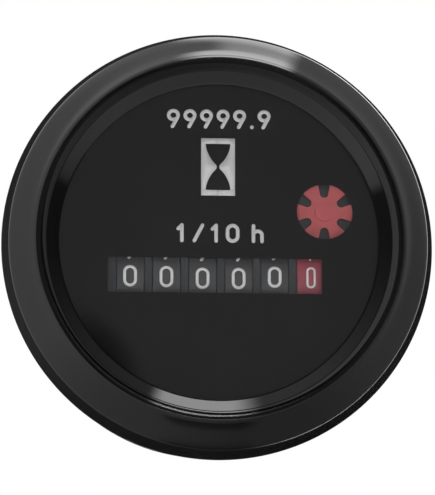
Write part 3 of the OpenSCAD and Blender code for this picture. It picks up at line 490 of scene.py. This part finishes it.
def arcOf(cx, cy, rx, ry, start, end, count=24):
    # Points on an ellipse: x = cx + rx cos a and y = cy + ry sin a, with a from start to end in degrees.
    turn = np.radians(np.linspace(start, end, count))
    return np.stack([cx + rx * np.cos(turn), cy + ry * np.sin(turn)], axis=1)


def signPaths(sign, aspect):
    # Middle lines of a plain sign in a box from -0.5 to 0.5 both ways, as (points, closed). aspect is the
    # box's width over its height, which keeps the round ends of a nought truly round.
    end = 0.5 * aspect
    nought = np.concatenate([arcOf(0, 0.5 - end, 0.5, end, 0, 180),
                             arcOf(0, end - 0.5, 0.5, end, 180, 360)])
    top, low = 0.24, 0.26  # half heights of the upper and the lower bowl
    shapes = {
        "0": [(nought, True)],
        "1": [([(-0.3, 0.26), (0.06, 0.5)], False), ([(0.06, 0.5), (0.06, -0.5)], False)],
        "2": [(np.concatenate([arcOf(0, 0.2, 0.5, 0.3, 165, -25), [(-0.5, -0.5)]]), False),
              ([(-0.5, -0.5), (0.5, -0.5)], False)],
        "3": [(arcOf(0, top + 0.02, 0.46, top, 150, -90), False),
              (arcOf(0, -low + 0.02, 0.5, low, 90, -150), False)],
        "4": [([(0.22, -0.5), (0.22, 0.5)], False), ([(0.22, 0.5), (-0.5, -0.22)], False),
              ([(-0.5, -0.22), (0.5, -0.22)], False)],
        "5": [([(0.4, 0.5), (-0.36, 0.5)], False), ([(-0.36, 0.5), (-0.42, 0.04)], False),
              (np.concatenate([[(-0.42, 0.04)], arcOf(0, -0.18, 0.5, 0.32, 130, -155)]), False)],
        "6": [(arcOf(0, -0.5 + low + 0.02, 0.5, low + 0.02, 0, 360), True),
              ([(-0.42, -0.06), (0.1, 0.5)], False)],
        "7": [([(-0.5, 0.5), (0.5, 0.5)], False), ([(0.5, 0.5), (-0.12, -0.5)], False)],
        "8": [(arcOf(0, 0.5 - top, 0.42, top, 0, 360), True),
              (arcOf(0, low - 0.5, 0.5, low, 0, 360), True)],
        "9": [(arcOf(0, 0.5 - low - 0.02, 0.5, low + 0.02, 0, 360), True),
              ([(0.42, 0.06), (-0.1, -0.5)], False)],
        ".": [([(0, -0.5), (0, -0.48)], False)],
        "/": [([(-0.4, -0.5), (0.4, 0.5)], False)],
        "h": [([(-0.42, -0.5), (-0.42, 0.5)], False),
              (np.concatenate([arcOf(0, -0.1, 0.42, 0.26, 180, 0), [(0.42, -0.5)]]), False)],
    }
    return [(np.array(points, float), closed) for points, closed in shapes[sign]]


# How thick the ink is, how much each later stroke of a sign lies above the one before, so that strokes
# that cross share no face, and how many points a closed stroke has, and an open one at each round end
# and between its ends.
inkSize = {"thickness": 0.02, "lift": 0.002, "closedPoints": 56, "endPoints": 7, "openPoints": 24}


def inkBand(path, closed, width):
    # Left and right edges of a band along a path: each point moves half the width to either side, square
    # to the path. An open band runs on by half its width and ends in a half circle, where the reach to
    # the side is sqrt(half^2 - (half - way from the end)^2).
    half = width / 2
    if closed:
        path = np.concatenate([path, path[:1]])
    else:
        first, last = path[0] - path[1], path[-1] - path[-2]
        path = np.concatenate([[path[0] + first / np.linalg.norm(first) * half], path,
                               [path[-1] + last / np.linalg.norm(last) * half]])
    run = np.concatenate([[0], np.cumsum(np.linalg.norm(np.diff(path, axis=0), axis=1))])
    if closed:
        s = np.linspace(0, run[-1], inkSize["closedPoints"], endpoint=False)
        reach = np.full(inkSize["closedPoints"], half)
    else:
        cap = half * (1 - np.cos(np.linspace(0, np.pi / 2, inkSize["endPoints"])))
        middle = np.linspace(half, run[-1] - half, inkSize["openPoints"] + 2)[1:-1]
        s = np.concatenate([cap, middle, run[-1] - cap[::-1]])
        fromEnd = np.minimum(np.minimum(s, run[-1] - s), half)
        reach = np.sqrt(np.maximum(half ** 2 - (half - fromEnd) ** 2, 0))
    here = np.stack([np.interp(s, run, path[:, 0]), np.interp(s, run, path[:, 1])], axis=1)
    ahead = np.roll(here, -1, axis=0) - np.roll(here, 1, axis=0) if closed else np.gradient(here, axis=0)
    side = np.stack([-ahead[:, 1], ahead[:, 0]], axis=1) / np.linalg.norm(ahead, axis=1)[:, None]
    return here + side * reach[:, None], here - side * reach[:, None]


def inkGrids(sign, centre, box, width, place):
    # Grids of the bands of one sign. place turns (x, y, depth) into points of the surface printed on.
    grids = []
    scale = np.array(box) - width
    for layer, (path, closed) in enumerate(signPaths(sign, scale[0] / scale[1])):
        left, right = inkBand(path * scale + centre, closed, width)
        low, top = -inkSize["thickness"], inkSize["thickness"] + inkSize["lift"] * layer
        rim = [(left, low), (left, top), (right, top), (right, low)]
        band = np.stack([place(edge[:, 0], edge[:, 1], depth) for edge, depth in rim], axis=1)
        grids.append((band, closed, True))
    return grids


dialFront = 2.9  # height of the dial's face
# box is a sign's width and height, width that of its strokes, and step the distance from sign to sign,
# which is pointStep at a point or a space.
dialPrint = {
    "upperNumerals": {"signs": "99999.9", "centre": (0.0, 17.2), "box": (1.8, 2.7), "width": 0.5,
                      "step": 2.28, "pointStep": 1.1},
    "lowerNumerals": {"signs": "1/10 h", "centre": (0.1, 1.27), "box": (1.9, 2.65), "width": 0.5,
                      "step": 2.35, "pointStep": 1.1},
}


def onDialFace(x, y, depth):
    # Flat print on the dial: height = the face's height + depth.
    return onDial(x, dialFront + depth, y)


for name, line in dialPrint.items():
    steps = np.array([line["pointStep"] if sign in ". " else line["step"] for sign in line["signs"]])
    middles = np.cumsum(steps) - steps / 2 - steps.sum() / 2
    centres = [(line["centre"][0] + x, line["centre"][1]) for x in middles]
    makePiece(name, [grid for sign, centre in zip(line["signs"], centres) if sign != " " for grid in
                     inkGrids(sign, centre, line["box"], line["width"], onDialFace)], dialInk)

# bar is the height of the bars above and below the glass, flare how far the waist stays narrow, as a
# share of the way to the end, and seam half the hairline between the two halves of a bar.
hourglass = {"centre": (-0.1, 10.5), "width": 4.65, "height": 8.0, "bar": 0.78, "waist": 0.19,
             "bulb": 1.68, "flare": 0.13, "rows": 81, "seam": 0.001}


def hourglassGrids(size):
    # The pale field left and right of a sand glass. Its half width is the waist plus a quarter sine that
    # starts flat: w = waist + (bulb - waist) sin(90 t) (1 - e^-(t / flare)^2), t from waist to end.
    end, seam = size["height"] / 2, size["seam"]
    inner = end - size["bar"]
    y = np.linspace(-inner, inner, size["rows"])
    t = np.abs(y) / inner
    swell = np.sin(np.pi / 2 * t) * (1 - np.exp(-(t / size["flare"]) ** 2))
    w = size["waist"] + (size["bulb"] - size["waist"]) * swell
    bar = np.array([inner + 2 * seam, end, end])
    y = np.concatenate([-bar[::-1], y, bar])
    w = np.concatenate([[seam] * 3, w, [seam] * 3])
    outer = np.full_like(w, size["width"] / 2)
    outer[[0, -1]] = seam
    x0, y0 = size["centre"]
    low, top = -inkSize["thickness"], inkSize["thickness"]
    grids = []
    for side in (-1, 1):
        rim = [(side * w, low), (side * w, top), (side * outer, top), (side * outer, low)]
        field = np.stack([onDialFace(x0 + x, y0 + y, depth) for x, depth in rim], axis=1)
        grids.append((field, False, True))
    return grids


makePiece("hourglassField", hourglassGrids(hourglass), dialInk)

# The number wheels turn about a line along x. skin is how far a wheel's printed skin lies outside it,
# and digitTurn the angle from one digit to the next.
counter = {"axisHeight": -5.0, "y": -4.55, "middle": 0.39, "pitch": 4.96, "drum": 6.3, "rim": 3.8,
           "skin": 0.015, "skinInside": 5.6, "skinEdge": 0.12, "skinSteps": 180, "digitTurn": 36}
greyWheel = {"slot": "number_drum", "box": (1.9, 3.0), "width": 0.4}
redWheel = {"slot": "red_drum", "box": (1.3, 3.0), "width": 0.3}
# Each wheel's body, how far its nought is turned out of line in degrees, how far its digits stand aside,
# and its look.
wheels = [
    ("ten_thousands", 0.4, -0.05, greyWheel),
    ("thousands", 0.0, -0.02, greyWheel),
    ("hundreds", -1.6, -0.02, greyWheel),
    ("tens", -1.4, -0.02, greyWheel),
    ("units", 0.9, -0.02, greyWheel),
    ("tenths", 0.7, 0.03, redWheel),
]


def drumPlace(middle, lead):
    # Wraps flat print round a drum: an arc length y becomes the angle y / radius.
    def place(x, y, depth):
        angle = y / counter["drum"] + math.radians(lead)
        reach = counter["drum"] + counter["skin"] + depth
        return onDial(middle + x, counter["axisHeight"] + reach * np.cos(angle),
                      counter["y"] + reach * np.sin(angle))
    return place


def drumSkin(middle, size):
    # The rim's section carried round the counter's axis: height = r cos a and y = r sin a from there.
    half, outer = size["rim"] / 2, size["drum"] + size["skin"]
    section = rounded([(size["skinInside"], -half, 0), (outer, -half, size["skinEdge"]),
                       (outer, half, size["skinEdge"]), (size["skinInside"], half, 0)])
    r, along = section[None, :, 0], section[None, :, 1]
    angle = np.linspace(0, 2 * np.pi, size["skinSteps"], endpoint=False)[:, None]
    return onDial(middle + along, size["axisHeight"] + r * np.cos(angle), size["y"] + r * np.sin(angle))


for index, (body, lead, aside, look) in enumerate(wheels):
    middle = counter["middle"] + (index - (len(wheels) - 1) / 2) * counter["pitch"]
    makePiece(f"{body}_skin", [(drumSkin(middle, counter), True, True)], finishes[look["slot"]],
              body=body, slot=look["slot"])
    places = [drumPlace(middle, lead - counter["digitTurn"] * digit) for digit in range(10)]
    makePiece(f"{body}_digits", [grid for digit, place in enumerate(places) for grid in
                                 inkGrids(str(digit), (aside, 0), look["box"], look["width"], place)],
              drumInk, body=body)
print("print and number wheels made")

# flank makes the thread's flanks steeper, and flat widens its crests. At both ends the thread runs out
# to endDepth below its root. The thread starts one gap behind the shoulder.
stud = {"places": (-14.0, 14.0), "y": 3.0, "radius": 2.0, "shoulder": 2.5, "head": 3.5, "edge": 0.15,
        "pitch": 0.7, "depth": 0.43, "flank": 1.25, "flat": 0.12, "endDepth": 0.05, "runOut": 0.6,
        "runOutSlope": 0.9, "headTop": -23.0, "headBack": -24.0, "shoulderEnd": -27.3, "tip": -40.5,
        "gap": 0.02, "turnSteps": 72, "threadSteps": 230}


def studGrid(size, x):
    # Head, shoulder and thread as one radius over angle and height. The thread is a wave that climbs one
    # pitch in a turn: radius = outer - depth w, where w = flank |2 frac(height / pitch - turn) - 1| - flat,
    # held between 0 and 1.
    edge, root = size["edge"], size["radius"] - size["depth"]
    turns, rows = size["turnSteps"], size["threadSteps"]
    head = np.array([(0, size["headTop"]), (size["head"] - edge, size["headTop"]),
                     (size["head"], size["headTop"] - edge), (size["head"], size["headBack"]),
                     (size["shoulder"], size["headBack"]), (size["shoulder"], size["shoulderEnd"] + edge),
                     (size["shoulder"] - edge, size["shoulderEnd"]), (root, size["shoulderEnd"])])
    angle = np.linspace(0, 2 * np.pi, turns, endpoint=False)[:, None]
    height = np.linspace(size["shoulderEnd"] - size["gap"], size["tip"], rows)[None, :]
    wave = np.abs(2 * np.mod(height / size["pitch"] - angle / (2 * np.pi), 1) - 1)
    wave = np.clip(wave * size["flank"] - size["flat"], 0, 1)
    fromEnd = np.minimum(height - size["tip"], size["shoulderEnd"] - height)
    limit = root - size["endDepth"] + np.clip(fromEnd, 0, size["runOut"]) * size["runOutSlope"]
    thread = np.minimum(size["radius"] - size["depth"] * wave, limit)
    radius = np.concatenate([np.broadcast_to(head[:, 0], (turns, len(head))), thread,
                             np.zeros((turns, 1))], axis=1)
    heights = np.concatenate([head[:, 1], height[0], [size["tip"]]])
    return onDial(x + radius * np.cos(angle), heights, size["y"] + radius * np.sin(angle))


makePiece("threadedStuds", [(studGrid(stud, x), True, False) for x in stud["places"]],
          finishes["plated_steel"], slot="plated_steel", replaces=["mounting_studs"])
print("studs made")

# The room that the surfaces mirror, as a function of a ray's direction: x right, y away from the camera,
# z up. A tuple works out one measure from two others, or from one and a number. A list is a light or a
# shadow, the product of its soft edges. An edge is a measure, where along it the change starts and ends,
# and the value before and after.
boxLeft, boxRight = ("across", -0.15, 0.03, 0, 1), ("across", 0.35, 0.45, 1, 0)
stripBottom, stripTop = ("y", 0.36, 0.46, 0, 1), ("y", 0.6, 0.7, 1, 0)
# One small dark thing straight ahead, an ellipse that the lens mirrors at the lower left of the dial.
spot = {"x": 0.0493, "z": 0.1563, "turn": math.radians(222), "halfWidth": 0.007, "halfHeight": 0.0125}
spotCos, spotSin = math.cos(spot["turn"]), math.sin(spot["turn"])
studio = {
    "lean": ("MULTIPLY", "x", 0.075),
    "forward": ("SUBTRACT", "y", "lean"),
    "up": ("MAXIMUM", "z", 0.001),
    "across": ("DIVIDE", "x", "up"),
    "along": ("DIVIDE", "y", "up"),
    # Walls: paler on the left, darker towards the floor and behind, with a pale band round the sides.
    "walls": [("x", -0.5, 0.5, 0.8, 0.43), ("z", -0.95, -0.3, 0.54, 1), ("y", 0.4, 0.85, 1, 0.06),
              ("y", 0.08, 0.2, 1, 1.45), ("y", 0.3, 0.5, 1, 1 / 1.45)],
    # Dark parts of the walls: in front above the floor, straight down, and low behind.
    "frontShade": [("forward", -0.42, -0.2, 0.89, 0), ("z", -0.18, -0.1, 0, 1)],
    "floorShade": [("y", -0.22, -0.06, 0, 0.75), ("z", -0.98, -0.94, 1, 0)],
    "backShade": [("y", 0.35, 0.6, 0, 0.7), ("z", -0.6, 0, 1, 0)],
    "frontLit": ("SUBTRACT", 1, "frontShade"),
    "floorLit": ("SUBTRACT", 1, "floorShade"),
    "backLit": ("SUBTRACT", 1, "backShade"),
    "shadedFront": ("MULTIPLY", "walls", "frontLit"),
    "shadedFloor": ("MULTIPLY", "shadedFront", "floorLit"),
    "room": ("MULTIPLY", "shadedFloor", "backLit"),
    # Softbox overhead, a rectangle in across = x / z and along = y / z, dimmer in its middle.
    "boxNear": [("along", 0.06, 0.16, 5.6, 0), ("along", -0.315, -0.285, 0, 1), boxLeft, boxRight],
    "boxMiddle": [("along", 0.06, 0.16, 0, 1.65), ("along", 0.185, 0.26, 1, 0),
                  ("across", 0.02, 0.14, 0, 1), boxRight],
    "boxFar": [("along", 0.185, 0.26, 0, 3.8), ("along", 0.64, 0.68, 1, 0), boxLeft, boxRight],
    # Upright strips at both sides. The right one is 1 + 4 z squared times as bright away from level.
    "stripLeft": [("x", -0.5, -0.2, 1.4, 0), ("z", -0.45, 0.3, 0.05, 1.5), stripBottom, stripTop],
    "stripRight": [("x", 0.2, 0.5, 0, 3.5), stripBottom, stripTop],
    "zSquare": ("MULTIPLY", "z", "z"),
    "zRise": ("MULTIPLY", "zSquare", 4),
    "rise": ("ADD", "zRise", 1),
    "stripRise": ("MULTIPLY", "stripRight", "rise"),
    # A low light in front, and a faintly lit wall straight ahead, which the lens and the flats show.
    "under": [("x", -0.65, 0.65, 0.2, 0.4), ("y", -0.5, -0.36, 1, 0), ("z", -0.25, -0.13, 1, 0)],
    "ahead": [("y", -0.95, -0.86, 0.1, 0)],
    "roomBox": ("ADD", "room", "boxNear"),
    "roomBoxes": ("ADD", "boxMiddle", "boxFar"),
    "overhead": ("ADD", "roomBox", "roomBoxes"),
    "strips": ("ADD", "stripLeft", "stripRise"),
    "around": ("ADD", "overhead", "strips"),
    "low": ("ADD", "under", "ahead"),
    "all": ("ADD", "around", "low"),
    # The small dark thing, measured along the ellipse's own axes: 0 at its middle and 1 at its rim.
    "besideSpot": ("SUBTRACT", "x", spot["x"]),
    "aboveSpot": ("SUBTRACT", "z", spot["z"]),
    "widthBeside": ("MULTIPLY", "besideSpot", spotCos / spot["halfWidth"]),
    "widthAbove": ("MULTIPLY", "aboveSpot", spotSin / spot["halfWidth"]),
    "heightAbove": ("MULTIPLY", "aboveSpot", spotCos / spot["halfHeight"]),
    "heightBeside": ("MULTIPLY", "besideSpot", spotSin / spot["halfHeight"]),
    "spotWidth": ("ADD", "widthBeside", "widthAbove"),
    "spotHeight": ("SUBTRACT", "heightAbove", "heightBeside"),
    "widthSquare": ("MULTIPLY", "spotWidth", "spotWidth"),
    "heightSquare": ("MULTIPLY", "spotHeight", "spotHeight"),
    "fromSpot": ("ADD", "widthSquare", "heightSquare"),
    "spotShade": [("fromSpot", 0, 1, 0.05, 1)],
    "strength": ("MULTIPLY", "all", "spotShade"),
    # The backdrop, straight behind the object.
    "backdrop": [("y", 0.975, 0.985, 0, 1)],
}
world = bpy.data.worlds.new("studio")
bpy.context.scene.world = world
world.use_nodes = True
tree = world.node_tree
tree.nodes.clear()
way = addNode(tree, "ShaderNodeTexCoord")
axes = addNode(tree, "ShaderNodeSeparateXYZ", links={0: (way, "Generated")})
known = {axis: (axes, i) for i, axis in enumerate("xyz")}
for name, row in studio.items():
    if isinstance(row, tuple):
        inputs = dict(enumerate(row[1:]))
        numbers = {i: value for i, value in inputs.items() if not isinstance(value, str)}
        sources = {i: known[value] for i, value in inputs.items() if isinstance(value, str)}
        known[name] = addNode(tree, "ShaderNodeMath", {"operation": row[0]} | numbers, sources), 0
        continue
    for measure, low, high, before, after in row:
        edge = addNode(tree, "ShaderNodeMapRange", {
            "interpolation_type": "SMOOTHSTEP", "From Min": low, "From Max": high, "To Min": before,
            "To Max": after}, {"Value": known[measure]}), 0
        if name in known:
            edge = addNode(tree, "ShaderNodeMath", {"operation": "MULTIPLY"},
                           {0: known[name], 1: edge}), 0
        known[name] = edge

# The camera sees plain white, and so do mirrored and refracted rays that go on to the backdrop.
lit = addNode(tree, "ShaderNodeBackground", {"Color": (1, 1, 1, 1)}, {"Strength": known["strength"]})
white = addNode(tree, "ShaderNodeBackground", {"Color": (1, 1, 1, 1), "Strength": 1.0})
path = addNode(tree, "ShaderNodeLightPath")
mirrored = addNode(tree, "ShaderNodeMath", {"operation": "MAXIMUM"},
                   {0: (path, "Is Glossy Ray"), 1: (path, "Is Transmission Ray")})
behind = addNode(tree, "ShaderNodeMath", {"operation": "MULTIPLY"},
                 {0: known["backdrop"], 1: (mirrored, 0)})
seen = addNode(tree, "ShaderNodeMath", {"operation": "MAXIMUM"},
               {0: (path, "Is Camera Ray"), 1: (behind, 0)})
mixed = addNode(tree, "ShaderNodeMixShader", links={0: (seen, 0), 1: (lit, 0), 2: (white, 0)})
addNode(tree, "ShaderNodeOutputWorld", links={"Surface": (mixed, 0)})

floorSize = {"radius": 3.0, "height": -0.25, "turnSteps": 96, "rings": 24}  # metres
angle = np.linspace(0, 2 * np.pi, floorSize["turnSteps"], endpoint=False)[:, None]
reach = np.linspace(0, floorSize["radius"], floorSize["rings"])[None, :]
floorPoints = np.stack(np.broadcast_arrays(
    reach * np.cos(angle), reach * np.sin(angle), floorSize["height"]), axis=-1)
# Matt white paper, a soft grain.
paper = {"colour": "#e4e4e4", "shade": "#e8e8e8", "roughness": (0.8, 0.9), "ior": 1.4, "grainMm": 2,
         "grainHeightMm": 0.02, "flowMm": 60}
floor = makePiece("studioFloor", [(floorPoints, True, False)], mouldedFinish("mattPaper", paper))
floor.parent = None
floor.visible_glossy = False

# Two soft panels square to the dial's axis, one in front and one behind, that show in no gloss.
panels = {"frontPanel": {"y": -1.5, "size": 1.2, "power": 12.0, "turn": 90},
          "rearPanel": {"y": 1.5, "size": 1.2, "power": 20.0, "turn": -90}}
for name, panel in panels.items():
    lamp = bpy.data.lights.new(name, "AREA")
    lamp.shape, lamp.size, lamp.energy = "SQUARE", panel["size"], panel["power"]
    lampObject = bpy.data.objects.new(name, lamp)
    lampObject.location = (0, panel["y"], 0)
    lampObject.rotation_euler = (math.radians(panel["turn"]), 0, 0)
    lampObject.visible_camera = lampObject.visible_glossy = lampObject.visible_transmission = False
    bpy.context.scene.collection.objects.link(lampObject)

# The camera stands below and left of the dial's axis, far off, with a long lens. Metres and degrees.
shot = {"azimuth": -4.2, "elevation": -10.2, "distance": 0.7, "aim": (-0.00009, -0.003, -0.00052),
        "lens": 371.4, "sensor": 36.0, "near": 0.05, "far": 20.0}
azimuth, elevation = math.radians(shot["azimuth"]), math.radians(shot["elevation"])
back = np.array([math.sin(azimuth) * math.cos(elevation), -math.cos(azimuth) * math.cos(elevation),
                 math.sin(elevation)])
right = np.cross(-back, (0, 0, 1))
right /= np.linalg.norm(right)
facing = np.stack([right, np.cross(right, -back), back], axis=1)
camera = bpy.data.objects.new("camera", bpy.data.cameras.new("camera"))
camera.data.lens, camera.data.sensor_width = shot["lens"], shot["sensor"]
camera.data.clip_start, camera.data.clip_end = shot["near"], shot["far"]
camera.location = np.array(shot["aim"]) + back * shot["distance"]
camera.rotation_mode = "QUATERNION"
camera.rotation_quaternion = mathutils.Matrix(facing.tolist()).to_quaternion()
bpy.context.scene.collection.objects.link(camera)
bpy.context.scene.camera = camera
bpy.context.scene.view_settings.view_transform = "Standard"
print("stage set")
